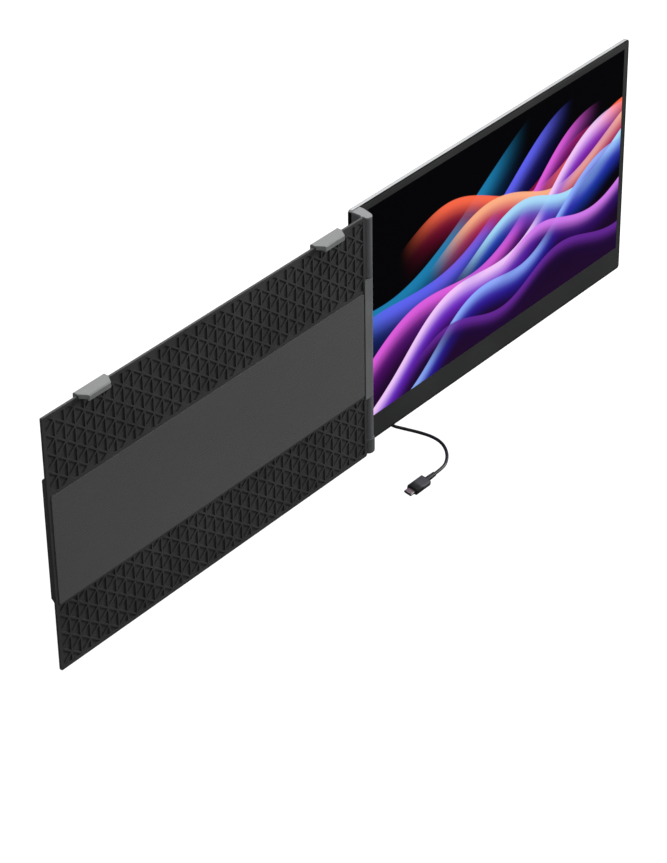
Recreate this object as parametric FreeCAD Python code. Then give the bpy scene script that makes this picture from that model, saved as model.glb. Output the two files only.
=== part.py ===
import FreeCAD, Part
import math
import os

# A second screen on a bracket that clips behind a thin hinged lid.
# Millimetres. +X to the right along the screens, +Y to the back, +Z up.
# The origin lies on the front of the soft band that rests on the lid's back, at half its height.

V = FreeCAD.Vector
os.makedirs("parts", exist_ok=True)

# display and its borders
active_width = 382.1
active_height = 214.9
border_right = 6.85
border_left = 17.8
border_top = 7.95
border_bottom = 25.25
monitor_rise = 0.25
monitor_corner_radius = 3.2
bezel_thickness = 1.0
glass_thickness = 0.8
glass_clearance = 0.12
panel_margin = 3.0
panel_thickness = 2.3
back_wall = 1.1
side_wall = 1.4
bezel_clearance = 0.1
panel_clearance = 0.1

# control box on the monitor's back
box_depth = 7.5
box_wall = 1.5
box_inset_left = 26.7
box_inset_right = 27.75
box_bottom_z = -51.5
box_height = 113.5
box_corner_radius = 5.0
board_width = 190.0
board_height = 52.0
board_thickness = 1.2
board_gap = 1.3
board_edge_gap = 0.4
spacer_radius = 2.5
speaker_width = 40.0
speaker_height = 14.0
speaker_thickness = 4.6
speaker_step = 52.0
speaker_gap = 0.3
speaker_first_inset = 100.0
grille_slot_width = 1.6
grille_slot_length = 4.2
grille_slot_step = 4.0
grille_slot_count = 9
port_first_inset = 28.0
port_step = 17.5
port_shell_length = 7.4
port_wall = 0.3
port_clearance = 0.05
port_tongue_width = 6.7
port_tongue_thickness = 0.7
video_port_width = 11.2
button_first_inset = 92.0
button_step = 13.0
button_count = 3
button_length = 8.0
button_height = 3.0
button_stand_proud = 0.9
button_flange = 0.8
button_flange_thickness = 1.0
button_clearance = 0.2
button_gap = 0.05

# bracket frame behind the lid
frame_width = 390.25
frame_height = 245.3
frame_shift_x = -2.775
frame_shift_z = 4.65
frame_corner_radius = 2.0
frame_front_y = 0.6
frame_front_depth = 4.8
rear_cover_thickness = 1.6
frame_edge_thickness = 2.0
edge_taper = 5.6
rim_width = 3.2
rim_step = 0.3
pocket_depth = 1.1
pocket_floor = 0.9
lattice_pitch = 17.4
lattice_column = 11.0
lattice_rib = 1.6
lattice_least_pocket = 12.0
band_height = 105.0
band_thickness = 1.6
band_clearance = 0.1
cell_width = 32.0
cell_height = 27.0
cell_rib = 3.0
cover_screw_inset = 9.0
cover_screw_head_radius = 1.9
cover_screw_head_depth = 0.8
cover_screw_shank_radius = 1.0
cover_screw_length = 4.2
screw_clearance = 0.1

# clamps on the lid's top edge
clamp_left_inset = 57.7
clamp_right_inset = 48.45
clamp_width = 34.8
clamp_rise = 1.7
clamp_top_thickness = 1.5
lid_top_drop = 2.2
lid_seat_gap = 0.3
jaw_gap = 5.3
jaw_pad_thickness = 0.5
nose_thickness = 1.2
nose_height = 5.6
hook_back_y = 6.2
hook_corner_x = 5.4
hook_corner_y = 8.0
hook_slope = 1.0
hook_lip_gap = 0.4
hook_pocket_gap = 0.1
strip_width = 24.0
strip_thickness = 1.6
strip_clearance = 0.2
strip_length = 79.5
clamp_travel = 25.0
stop_stud_radius = 1.9
stop_stud_drop = 42.3
stud_clearance = 0.1
spring_radius = 1.15
spring_bore = 0.8
spring_spread = 14.0
spring_rest_length = 36.0

# upright hinge between bracket and monitor
barrel_radius = 5.0
hinge_gap = 1.55
face_to_axis = 13.2
bar_left = 3.7
bar_right = 7.5
bar_shoulder = 8.6
monitor_edge_behind_axis = 3.7
knuckle_bottom_z = -57.5
knuckle_top_z = 64.0
washer_thickness = 0.6
washer_radius = 4.6
shaft_radius = 2.5
shaft_clearance = 0.05
shaft_grip = 32.0
bar_top_drop = 0.2
top_cap_thickness = 1.8
cap_oversize = 1.0
bottom_cap_height = 15.4
bottom_cap_drop = 5.8
bottom_cap_rounding = 2.2
knuckle_plate_overlap = 1.75
tongue_length = 16.0
tongue_clearance = 0.1
tongue_margin = 4.0
hinge_screw_radius = 1.2
hinge_screw_bite = 5.0
hinge_screws_per_bar = 3
tongue_screw_count = 4
stiffener_margin = 1.4
stiffener_thickness = 2.2

# folding support stand on the bracket's back
stand_left_inset = 7.45
stand_right_inset = 14.35
stand_top_z = 62.8
stand_shoulder_z = -54.8
stand_back_y = 13.5
stand_gap = 0.2
stand_wall = 1.3
stand_core_thickness = 0.8
stand_top_radius = 3.0
stand_axis_y = 9.0
stand_axis_z = -56.8
stand_pin_radius = 0.8
stand_knuckle_radius = 1.7
stand_pin_clearance = 0.05
stand_hinge_inset = 36.0
stand_notch_width = 20.0
stand_ear_width = 4.5
stand_ear_gap = 0.3
stand_notch_height = 4.6
stand_foot_width = 2.2
stand_foot_depth = 1.4
stand_foot_length = 300.0

# cable from the monitor to the host, and its plugs
cable_diameter = 3.0
plug_width = 11.5
plug_thickness = 6.0
plug_length = 19.0
plug_corner_radius = 2.4
plug_shell_width = 8.3
plug_shell_height = 2.5
plug_shell_length = 6.5
plug_shell_wall = 0.3
relief_length = 12.3
relief_radius = 2.6
relief_tip_radius = 2.2
plug_seat_gap = 0.4
host_plug_tilt = 10.15
host_plug_end = (215.8, -56.6, -125.4)
cable_route_middle = [
    (251.5, 36.5, -108.0),
    (254.0, 35.5, -122.0),
    (257.0, 26.0, -130.6),
    (260.5, 13.0, -130.6),
    (263.6, -1.0, -129.9),
    (265.0, -16.0, -129.2),
    (261.8, -29.0, -128.4),
    (253.8, -40.6, -127.5),
    (242.6, -50.2, -126.5),
    (229.2, -56.8, -125.4),
]
cable_first_run = 13.0

# places that follow from the sizes above
frame_right = frame_shift_x + frame_width / 2
frame_left = frame_shift_x - frame_width / 2
frame_top = frame_shift_z + frame_height / 2
frame_bottom = frame_shift_z - frame_height / 2
web_y = frame_front_y + rim_step
floor_y = web_y + pocket_depth
channel_y = floor_y + pocket_floor
joint_y = frame_front_y + frame_front_depth
frame_back_y = joint_y + rear_cover_thickness

axis_x = frame_right + hinge_gap + barrel_radius
axis_y = barrel_radius
monitor_front_y = axis_y + face_to_axis
monitor_left = axis_x - monitor_edge_behind_axis
active_left = monitor_left + border_left
active_right = active_left + active_width
monitor_right = active_right + border_right
monitor_height = border_top + active_height + border_bottom
monitor_top = monitor_rise + monitor_height / 2
monitor_bottom = monitor_rise - monitor_height / 2
active_top = monitor_top - border_top
active_bottom = active_top - active_height
bezel_back_y = monitor_front_y + bezel_thickness
glass_front_y = bezel_back_y - glass_thickness
panel_back_y = bezel_back_y + panel_thickness
shell_inner_y = panel_back_y + panel_clearance
shell_back_y = shell_inner_y + back_wall

box_left = monitor_left + box_inset_left
box_right = monitor_right - box_inset_right
box_top_z = box_bottom_z + box_height
box_back_y = shell_back_y + box_depth
box_inner_y = box_back_y - box_wall
board_front_y = shell_back_y + board_gap
board_back_y = board_front_y + board_thickness
port_shell_width = plug_shell_width + 2 * (port_wall + port_clearance)
port_shell_height = plug_shell_height + 2 * (port_wall + port_clearance)
port_y = board_back_y + port_shell_height / 2
board_bottom_z = box_bottom_z + box_wall + board_edge_gap
port_mouth_z = box_bottom_z + box_wall - 0.4
port_x = [box_left + port_first_inset + i * port_step for i in range(3)]
button_x = [box_left + button_first_inset + i * button_step for i in range(button_count)]
speaker_x = [box_right - speaker_first_inset + i * speaker_step for i in range(2)]

bar_top_z = monitor_top - bar_top_drop - top_cap_thickness
bottom_cap_z = monitor_bottom + bottom_cap_drop
bar_bottom_z = bottom_cap_z + bottom_cap_height
upper_bar_z = knuckle_top_z + washer_thickness
lower_bar_z = knuckle_bottom_z - washer_thickness

clamp_top_z = frame_top + clamp_rise
lid_top_z = frame_top - lid_top_drop
hook_under_z = clamp_top_z - clamp_top_thickness
strip_y = channel_y + 0.5
strip_tail_z = hook_under_z - strip_length
spring_anchor_z = strip_tail_z - spring_rest_length
stop_stud_z = frame_top - stop_stud_drop
clamp_x = {"left": frame_left + clamp_left_inset, "right": frame_right - clamp_right_inset}

stand_left = frame_left + stand_left_inset
stand_right = frame_right - stand_right_inset
stand_front_y = frame_back_y + stand_gap
stand_hollow_z = stand_axis_z + stand_notch_height + stand_wall
stand_hinge_x = [stand_left + stand_hinge_inset, stand_right - stand_hinge_inset]

tongue_bottom = knuckle_bottom_z + tongue_margin
tongue_top = knuckle_top_z - tongue_margin
tongue_left = frame_right - tongue_length
tongue_front = channel_y + tongue_clearance
tongue_back = joint_y - tongue_clearance

relief_tip_z = box_bottom_z - plug_seat_gap - plug_length - relief_length
cable_route = [(port_x[0], port_y, relief_tip_z)]
cable_route.append((port_x[0], port_y, relief_tip_z - cable_first_run))
cable_route += cable_route_middle
cable_route.append(host_plug_end)


def box(x0, x1, y0, y1, z0, z1):
    """A block between two corners."""
    return Part.makeBox(x1 - x0, y1 - y0, z1 - z0, V(x0, y0, z0))


def rod_x(x0, x1, y, z, radius):
    return Part.makeCylinder(radius, x1 - x0, V(x0, y, z), V(1, 0, 0))


def rod_y(y0, y1, x, z, radius):
    return Part.makeCylinder(radius, y1 - y0, V(x, y0, z), V(0, 1, 0))


def rod_z(z0, z1, x, y, radius):
    return Part.makeCylinder(radius, z1 - z0, V(x, y, z0), V(0, 0, 1))


def outline(points, direction):
    """A straight-sided solid of a closed outline, pushed along a direction."""
    wire = Part.makePolygon([V(*p) for p in points] + [V(*points[0])])
    return Part.Face(wire).extrude(V(*direction))


def fillet_where(shape, radius, test):
    """Round the edges whose middle point passes the test."""
    edges = [e for e in shape.Edges if test(e)]
    return shape.makeFillet(radius, edges)


def runs_along(edge, axis):
    first = edge.Vertexes[0].Point
    last = edge.Vertexes[-1].Point
    step = last - first
    if step.Length < 1e-6:
        return False
    return abs(step.dot(axis)) > 0.999 * step.Length


def rounded_plate(x0, x1, y0, y1, z0, z1, radius):
    """A block whose four edges along Y are rounded."""
    block = box(x0, x1, y0, y1, z0, z1)
    return fillet_where(block, radius, lambda e: runs_along(e, V(0, 1, 0)))


def soft_edges(shape, radius, y):
    """Round the rim of a plate at one height across its thickness."""
    return fillet_where(shape, radius, lambda e: all(abs(v.Point.y - y) < 1e-6 for v in e.Vertexes))


def union(shapes):
    first = shapes[0]
    if len(shapes) == 1:
        return first
    return first.multiFuse(shapes[1:]).removeSplitter()


def cut_all(shape, tools):
    if not tools:
        return shape
    return shape.cut(Part.makeCompound(tools))


def group(shapes):
    return Part.makeCompound(shapes)


def save(name, shape):
    shape.exportStep("parts/" + name + ".step")


# bracket frame

def triangle_pockets():
    """Rows of triangular pockets: upright sides along Z, points to the left and right."""
    column = lattice_column
    left = frame_left + rim_width
    right = frame_right - rim_width
    low = frame_bottom + rim_width
    high = frame_top - rim_width
    pockets = []
    window = box(left, right, web_y, floor_y, low, high)
    columns = int((right - left) / column) + 1
    rows = int((high - low) / lattice_pitch) + 2
    for c in range(columns):
        x_left = left + c * column
        for r in range(-1, rows):
            base = low + r * lattice_pitch + (c % 2) * lattice_pitch / 2
            middle = base + lattice_pitch / 2
            pockets.append(inset_triangle((x_left, base), (x_left, base + lattice_pitch),
                                          (x_left + column, middle), lattice_rib))
            pockets.append(inset_triangle((x_left + column, middle),
                                          (x_left + column, middle + lattice_pitch),
                                          (x_left, base + lattice_pitch), lattice_rib))
    inside = []
    for p in pockets:
        part = p.common(window)
        if part.Volume > lattice_least_pocket:
            inside.append(part)
    return inside


def inset_triangle(a, b, c, rib):
    """A triangle drawn in from its corners by half a rib on each side."""
    sides = (math.dist(b, c), math.dist(c, a), math.dist(a, b))
    around = sum(sides)
    middle_x = (sides[0] * a[0] + sides[1] * b[0] + sides[2] * c[0]) / around
    middle_z = (sides[0] * a[1] + sides[1] * b[1] + sides[2] * c[1]) / around
    area = abs((b[0] - a[0]) * (c[1] - a[1]) - (c[0] - a[0]) * (b[1] - a[1])) / 2
    inner = 2 * area / around
    share = (inner - rib / 2) / inner
    points = []
    for x, z in (a, b, c):
        points.append((middle_x + (x - middle_x) * share, web_y, middle_z + (z - middle_z) * share))
    return outline(points, (0, pocket_depth, 0))


def cover_screw_places():
    places = []
    quarter = frame_width / 8
    for x in (frame_left + cover_screw_inset, frame_shift_x - quarter, frame_shift_x + quarter,
              frame_right - cover_screw_inset):
        for z in (frame_bottom + cover_screw_inset, frame_top - cover_screw_inset):
            places.append((x, z))
    return places


def back_cells():
    """Hollow cells in the frame's back, clear of the slides, the hinge tongue and the screws."""
    reserved = []
    for x in clamp_x.values():
        reserved.append((x - strip_width / 2 - cell_rib, x + strip_width / 2 + cell_rib,
                         spring_anchor_z - cell_rib, frame_top))
    reserved.append((tongue_left - cell_rib, frame_right, tongue_bottom - cell_rib, tongue_top + cell_rib))
    for x, z in cover_screw_places():
        reach = cover_screw_head_radius + cell_rib / 2
        reserved.append((x - reach, x + reach, z - reach, z + reach))
    room_left = frame_left + edge_taper + cell_rib
    room_right = frame_right - cell_rib
    room_low = frame_bottom + edge_taper + cell_rib
    room_high = frame_top - edge_taper - cell_rib
    across = int((room_right - room_left + cell_rib) / (cell_width + cell_rib))
    upward = int((room_high - room_low + cell_rib) / (cell_height + cell_rib))
    x_start = (room_left + room_right + cell_rib - across * (cell_width + cell_rib)) / 2
    z_start = (room_low + room_high + cell_rib - upward * (cell_height + cell_rib)) / 2
    cells = []
    for i in range(across):
        x0 = x_start + i * (cell_width + cell_rib)
        for j in range(upward):
            z0 = z_start + j * (cell_height + cell_rib)
            taken = [r for r in reserved
                     if x0 < r[1] and x0 + cell_width > r[0] and z0 < r[3] and z0 + cell_height > r[2]]
            if not taken:
                cells.append(box(x0, x0 + cell_width, channel_y, joint_y, z0, z0 + cell_height))
    return cells


def slide_channel(x):
    half = strip_width / 2 + strip_clearance
    return box(x - half, x + half, channel_y, joint_y, spring_anchor_z, frame_top)


def edge_wedges():
    """Wedges that thin the frame's left, top and bottom edges from behind."""
    start = frame_front_y + frame_edge_thickness
    end = frame_back_y
    spare = 1.0
    left = outline([
        (frame_left - spare, start, frame_bottom - spare),
        (frame_left, start, frame_bottom - spare),
        (frame_left + edge_taper, end, frame_bottom - spare),
        (frame_left + edge_taper, end + spare, frame_bottom - spare),
        (frame_left - spare, end + spare, frame_bottom - spare),
    ], (0, 0, frame_height + 2 * spare))
    wedges = [left]
    for edge, inward in ((frame_top, -1), (frame_bottom, 1)):
        wedges.append(outline([
            (frame_left - spare, start, edge - inward * spare),
            (frame_left - spare, start, edge),
            (frame_left - spare, end, edge + inward * edge_taper),
            (frame_left - spare, end + spare, edge + inward * edge_taper),
            (frame_left - spare, end + spare, edge - inward * spare),
        ], (frame_width + 2 * spare, 0, 0)))
    return wedges


def frame_front():
    body = rounded_plate(frame_left, frame_right, frame_front_y, joint_y, frame_bottom, frame_top,
                         frame_corner_radius)
    body = soft_edges(body, 0.25, frame_front_y)
    tools = [rounded_plate(frame_left + rim_width, frame_right - rim_width, frame_front_y, web_y,
                           frame_bottom + rim_width, frame_top - rim_width, 1.0)]
    half_band = band_height / 2 + band_clearance
    band_room = box(frame_left + rim_width, frame_right - rim_width, frame_front_y, band_thickness,
                    -half_band, half_band)
    keep = box(frame_left, frame_right, frame_front_y, floor_y, -half_band - 2.5, half_band + 2.5)
    for pocket in triangle_pockets():
        left_over = pocket.cut(keep)
        if left_over.Volume > 20.0:
            tools.append(left_over)
    body = cut_all(body, tools)
    tools = [band_room]
    for x in clamp_x.values():
        tools.append(slide_channel(x))
    tools.append(box(tongue_left - tongue_clearance, frame_right, channel_y, joint_y,
                     tongue_bottom - tongue_clearance, tongue_top + tongue_clearance))
    for x, z in cover_screw_places():
        shank = cover_screw_shank_radius + screw_clearance
        tools.append(rod_y(frame_back_y - cover_screw_length - screw_clearance, joint_y, x, z, shank))
    tools += back_cells()
    for wedge in edge_wedges():
        body = body.cut(wedge)
    return cut_all(body, tools)


def rear_cover():
    body = rounded_plate(frame_left, frame_right, joint_y, frame_back_y, frame_bottom, frame_top,
                         frame_corner_radius)
    body = soft_edges(body, 0.6, frame_back_y)
    for wedge in edge_wedges():
        body = body.cut(wedge)
    tools = []
    for x, z in cover_screw_places():
        tools.append(rod_y(joint_y, frame_back_y, x, z, cover_screw_shank_radius + screw_clearance))
        tools.append(rod_y(frame_back_y - cover_screw_head_depth - screw_clearance, frame_back_y, x, z,
                           cover_screw_head_radius + screw_clearance))
    return cut_all(body, tools)


def cover_screws():
    screws = []
    for x, z in cover_screw_places():
        under_head = frame_back_y - cover_screw_head_depth
        head = rod_y(under_head, frame_back_y - screw_clearance, x, z, cover_screw_head_radius)
        shank = rod_y(frame_back_y - cover_screw_length, under_head, x, z, cover_screw_shank_radius)
        recess = rod_y(frame_back_y - 0.5, frame_back_y, x, z, cover_screw_head_radius * 0.45)
        screws.append(union([head, shank]).cut(recess))
    return group(screws)


def rest_band():
    half = band_height / 2
    x0 = frame_left + rim_width + band_clearance
    x1 = frame_right - rim_width - band_clearance
    band = rounded_plate(x0, x1, 0.0, band_thickness, -half, half, 2.0)
    return soft_edges(band, 0.4, 0.0)


# clamps

def slide_strip(x):
    half = strip_width / 2
    strip = box(x - half, x + half, strip_y, strip_y + strip_thickness, strip_tail_z, hook_under_z)
    slot_half = stop_stud_radius + stud_clearance
    low = stop_stud_z - clamp_travel
    slot = union([
        box(x - slot_half, x + slot_half, strip_y, strip_y + strip_thickness, low, stop_stud_z),
        rod_y(strip_y, strip_y + strip_thickness, x, low, slot_half),
        rod_y(strip_y, strip_y + strip_thickness, x, stop_stud_z, slot_half),
    ])
    return strip.cut(slot)


def stop_stud(x):
    return rod_y(channel_y, joint_y, x, stop_stud_z, stop_stud_radius)


def clamp_hook(x):
    """Cap over the lid's edge, seen from the side: a plate above the bracket, a seat and a nose.

    A lip below the plate fills the slope behind the bracket's thin edge.
    """
    half = clamp_width / 2
    inner = -jaw_gap - jaw_pad_thickness
    outer = inner - nose_thickness
    low = clamp_top_z - nose_height
    seat_back = frame_front_y - lid_seat_gap
    lip_front = frame_front_y + frame_edge_thickness + hook_lip_gap
    taper_depth = frame_back_y - frame_front_y - frame_edge_thickness
    lip_low = frame_top - edge_taper * (hook_back_y - lip_front) / taper_depth
    profile = [
        (x - half, lip_front, hook_under_z),
        (x - half, lip_front, frame_top),
        (x - half, hook_back_y, lip_low),
        (x - half, hook_back_y, clamp_top_z - hook_slope),
        (x - half, hook_back_y - hook_slope, clamp_top_z),
        (x - half, outer + hook_slope, clamp_top_z),
        (x - half, outer, clamp_top_z - hook_slope),
        (x - half, outer, low + 0.5),
        (x - half, outer + 0.5, low),
        (x - half, inner, low),
        (x - half, inner, lid_top_z),
        (x - half, seat_back, lid_top_z),
        (x - half, seat_back, hook_under_z),
    ]
    body = outline(profile, (clamp_width, 0, 0))
    pocket_half = strip_width / 2 + strip_clearance
    pocket_back = strip_y + strip_thickness + hook_pocket_gap
    body = body.cut(box(x - pocket_half, x + pocket_half, lip_front, pocket_back, lip_low, hook_under_z))
    for side in (-1, 1):
        edge = x + side * half
        corner = outline([
            (edge + side, outer - 1.0, low),
            (edge - side * hook_corner_x, outer - 1.0, low),
            (edge - side * hook_corner_x, outer, low),
            (edge, outer + hook_corner_y, low),
            (edge + side, outer + hook_corner_y, low),
        ], (0, 0, nose_height))
        body = body.cut(corner)
    high = clamp_top_z
    return fillet_where(body, 0.6, lambda e: all(abs(v.Point.z - high) < 1e-6 for v in e.Vertexes)
                        and abs(e.CenterOfMass.x - x) > 1.0)


def jaw_pad(x):
    half = clamp_width / 2 - hook_corner_x - 0.6
    front = -jaw_gap - jaw_pad_thickness
    low = clamp_top_z - nose_height + 0.5
    return box(x - half, x + half, front, -jaw_gap, low, lid_top_z)


def clamp_springs(x):
    springs = []
    for side in (-1, 1):
        place = x + side * spring_spread / 2
        middle = (channel_y + joint_y) / 2
        coil = rod_z(spring_anchor_z, strip_tail_z, place, middle, spring_radius)
        bore = rod_z(spring_anchor_z, strip_tail_z, place, middle, spring_bore)
        springs.append(coil.cut(bore))
    return group(springs)


# hinge

def bar_outline(grow):
    """Plan of a hinge bar: a block on the monitor's face that narrows to the round barrel."""
    away = math.hypot(bar_right + grow, bar_shoulder)
    turn = math.acos((barrel_radius + grow) / away)
    heading = math.atan2(bar_shoulder, bar_right + grow)
    touch = heading - turn
    touch_x = (barrel_radius + grow) * math.cos(touch)
    touch_y = (barrel_radius + grow) * math.sin(touch)
    return [
        (axis_x - bar_left - grow, axis_y),
        (axis_x - bar_left - grow, monitor_front_y),
        (axis_x + bar_right + grow, monitor_front_y),
        (axis_x + bar_right + grow, axis_y + bar_shoulder),
        (axis_x + touch_x, axis_y + touch_y),
        (axis_x, axis_y),
    ]


def bar_solid(z0, z1, grow=0.0):
    flat = outline([(x, y, z0) for x, y in bar_outline(grow)], (0, 0, z1 - z0))
    return union([flat, rod_z(z0, z1, axis_x, axis_y, barrel_radius + grow)])


def bar_screw_places(z0, z1):
    step = (z1 - z0) / hinge_screws_per_bar
    return [z0 + step * (i + 0.5) for i in range(hinge_screws_per_bar)]


def bar_screw_holes(z0, z1, y0, y1, clearance):
    x = axis_x + (bar_right - bar_left) / 2
    return [rod_y(y0, y1, x, z, hinge_screw_radius + clearance) for z in bar_screw_places(z0, z1)]


def hinge_bar(z0, z1, shaft_z0, shaft_z1):
    body = bar_solid(z0, z1)
    bore = rod_z(shaft_z0, shaft_z1, axis_x, axis_y, shaft_radius + 0.02)
    holes = bar_screw_holes(z0, z1, monitor_front_y - hinge_screw_bite, monitor_front_y, 0.05)
    return cut_all(body, [bore] + holes)


def top_cap():
    cap = bar_solid(bar_top_z, bar_top_z + top_cap_thickness)
    high = bar_top_z + top_cap_thickness
    return fillet_where(cap, 0.5, lambda e: all(abs(v.Point.z - high) < 1e-6 for v in e.Vertexes)
                        and abs(e.CenterOfMass.y - monitor_front_y) > 0.2)


def bottom_cap():
    cap = bar_solid(bottom_cap_z, bar_bottom_z, 0.0)
    sleeve = rod_z(bottom_cap_z, bar_bottom_z, axis_x, axis_y, barrel_radius + cap_oversize)
    cap = union([cap, sleeve])
    return fillet_where(cap, bottom_cap_rounding, lambda e: all(abs(v.Point.z - bottom_cap_z) < 1e-6 for v in e.Vertexes)
                        and abs(e.CenterOfMass.y - monitor_front_y) > 0.2)


def hinge_shaft(z0, z1):
    return rod_z(z0, z1, axis_x, axis_y, shaft_radius)


def friction_washer(z0):
    ring = rod_z(z0, z0 + washer_thickness, axis_x, axis_y, washer_radius)
    return ring.cut(rod_z(z0, z0 + washer_thickness, axis_x, axis_y, shaft_radius + shaft_clearance))


def tongue_screw_places():
    span = tongue_top - tongue_bottom
    return [tongue_bottom + span * (i + 0.5) / tongue_screw_count for i in range(tongue_screw_count)]


def middle_knuckle():
    barrel = rod_z(knuckle_bottom_z, knuckle_top_z, axis_x, axis_y, barrel_radius)
    plate_left = frame_right - knuckle_plate_overlap
    plate = box(plate_left, axis_x, 0.0, frame_front_y, knuckle_bottom_z, knuckle_top_z)
    neck = box(frame_right + 0.3, axis_x, 0.0, axis_y + 1.6, knuckle_bottom_z, knuckle_top_z)
    tongue = box(tongue_left, axis_x, tongue_front, tongue_back, tongue_bottom, tongue_top)
    body = union([barrel, plate, neck, tongue])
    tools = []
    for z in (knuckle_bottom_z, knuckle_top_z - shaft_grip):
        tools.append(rod_z(z, z + shaft_grip, axis_x, axis_y, shaft_radius + shaft_clearance))
    x = tongue_left + tongue_length / 2
    for z in tongue_screw_places():
        tools.append(rod_y(tongue_front, tongue_back, x, z, hinge_screw_radius + screw_clearance))
    return cut_all(body, tools)


def tongue_screws():
    x = tongue_left + tongue_length / 2
    return group([rod_y(tongue_front - tongue_clearance, tongue_back, x, z, hinge_screw_radius)
                  for z in tongue_screw_places()])


def stiffener():
    """Steel strip inside the monitor that the hinge bars are screwed to."""
    x0 = monitor_left + side_wall + 0.3
    x1 = active_left - panel_margin - stiffener_margin
    z1 = monitor_top - side_wall - 2.0
    body = box(x0, x1, bezel_back_y, bezel_back_y + stiffener_thickness, -z1, z1)
    tools = []
    for z0, z1 in ((upper_bar_z, bar_top_z), (bar_bottom_z, lower_bar_z)):
        tools += bar_screw_holes(z0, z1, bezel_back_y, bezel_back_y + stiffener_thickness, screw_clearance)
    return cut_all(body, tools)


def hinge_screws():
    screws = []
    for z0, z1 in ((upper_bar_z, bar_top_z), (bar_bottom_z, lower_bar_z)):
        screws += bar_screw_holes(z0, z1, monitor_front_y - hinge_screw_bite + 0.3,
                                  bezel_back_y + stiffener_thickness, 0.0)
    return group(screws)


# monitor

def front_bezel():
    inset = side_wall + bezel_clearance
    ring = rounded_plate(monitor_left + inset, monitor_right - inset, monitor_front_y, bezel_back_y,
                         monitor_bottom + inset, monitor_top - inset, monitor_corner_radius - inset)
    ring = soft_edges(ring, 0.2, monitor_front_y)
    window = box(active_left, active_right, monitor_front_y, bezel_back_y, active_bottom, active_top)
    tools = [window]
    for z0, z1 in ((upper_bar_z, bar_top_z), (bar_bottom_z, lower_bar_z)):
        tools += bar_screw_holes(z0, z1, monitor_front_y, bezel_back_y, screw_clearance)
    return cut_all(ring, tools)


def display_glass():
    c = glass_clearance
    return box(active_left + c, active_right - c, glass_front_y, bezel_back_y,
               active_bottom + c, active_top - c)


def display_panel():
    m = panel_margin
    return box(active_left - m, active_right + m, bezel_back_y, panel_back_y,
               active_bottom - m, active_top + m)


def back_shell():
    shell = rounded_plate(monitor_left, monitor_right, monitor_front_y, shell_back_y,
                          monitor_bottom, monitor_top, monitor_corner_radius)
    shell = soft_edges(shell, 0.9, shell_back_y)
    shell = soft_edges(shell, 0.5, monitor_front_y)
    w = side_wall
    hollow = rounded_plate(monitor_left + w, monitor_right - w, monitor_front_y, shell_inner_y,
                           monitor_bottom + w, monitor_top - w, monitor_corner_radius - w)
    return shell.cut(hollow)


def control_box():
    shell = rounded_plate(box_left, box_right, shell_back_y, box_back_y,
                          box_bottom_z, box_top_z, box_corner_radius)
    shell = soft_edges(shell, 1.4, box_back_y)
    w = box_wall
    hollow = rounded_plate(box_left + w, box_right - w, shell_back_y, box_inner_y,
                           box_bottom_z + w, box_top_z - w, box_corner_radius - w)
    tools = [hollow]
    for x, width in zip(port_x, (port_shell_width, port_shell_width, video_port_width)):
        half = width / 2 + 0.15
        high = port_shell_height / 2 + 0.15
        tools.append(box(x - half, x + half, port_y - high, port_y + high, box_bottom_z, box_bottom_z + w))
    for x in button_x:
        half = button_length / 2 + button_clearance
        high = button_height / 2 + button_clearance
        tools.append(box(x - half, x + half, port_y - high, port_y + high, box_bottom_z, box_bottom_z + w))
    for x in speaker_x:
        for i in range(grille_slot_count):
            at = x + (i - (grille_slot_count - 1) / 2) * grille_slot_step
            tools.append(box(at - grille_slot_width / 2, at + grille_slot_width / 2,
                             port_y - grille_slot_length / 2, port_y + grille_slot_length / 2,
                             box_bottom_z, box_bottom_z + w))
    return cut_all(shell, tools)


def driver_board():
    x0 = box_left + box_wall + 4.0
    return box(x0, x0 + board_width, board_front_y, board_back_y,
               board_bottom_z, board_bottom_z + board_height)


def board_spacers():
    x0 = box_left + box_wall + 4.0
    inset = 5.0
    places = []
    for x in (x0 + inset, x0 + board_width - inset):
        for z in (board_bottom_z + inset, board_bottom_z + board_height - inset):
            places.append(rod_y(shell_back_y, board_front_y, x, z, spacer_radius))
    return group(places)


def port_shell(x, width):
    """Metal mouth of a socket on the board, open downwards, with its contact tongue."""
    z0 = port_mouth_z
    z1 = z0 + port_shell_length
    half = width / 2
    high = port_shell_height / 2
    body = box(x - half, x + half, port_y - high, port_y + high, z0, z1)
    w = port_wall
    mouth = box(x - half + w, x + half - w, port_y - high + w, port_y + high - w, z0, z1 - w)
    tongue_half = half - (port_shell_width - port_tongue_width) / 2
    tongue = box(x - tongue_half, x + tongue_half, port_y - port_tongue_thickness / 2,
                 port_y + port_tongue_thickness / 2, z0 + 0.8, z1)
    return union([body.cut(mouth), tongue])


def button(x):
    half = button_length / 2
    high = button_height / 2
    cap_low = box_bottom_z - button_stand_proud
    seat = box_bottom_z + box_wall + button_gap
    cap = box(x - half, x + half, port_y - high, port_y + high, cap_low, seat)
    cap = fillet_where(cap, 1.2, lambda e: runs_along(e, V(0, 0, 1)))
    flange = box(x - half - button_flange, x + half + button_flange, port_y - high, port_y + high,
                 seat, seat + button_flange_thickness)
    return union([cap, flange])


def speakers():
    y1 = shell_back_y + speaker_thickness
    z0 = box_bottom_z + box_wall + speaker_gap
    half = speaker_width / 2
    return group([box(x - half, x + half, shell_back_y, y1, z0, z0 + speaker_height) for x in speaker_x])


# stand

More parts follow.
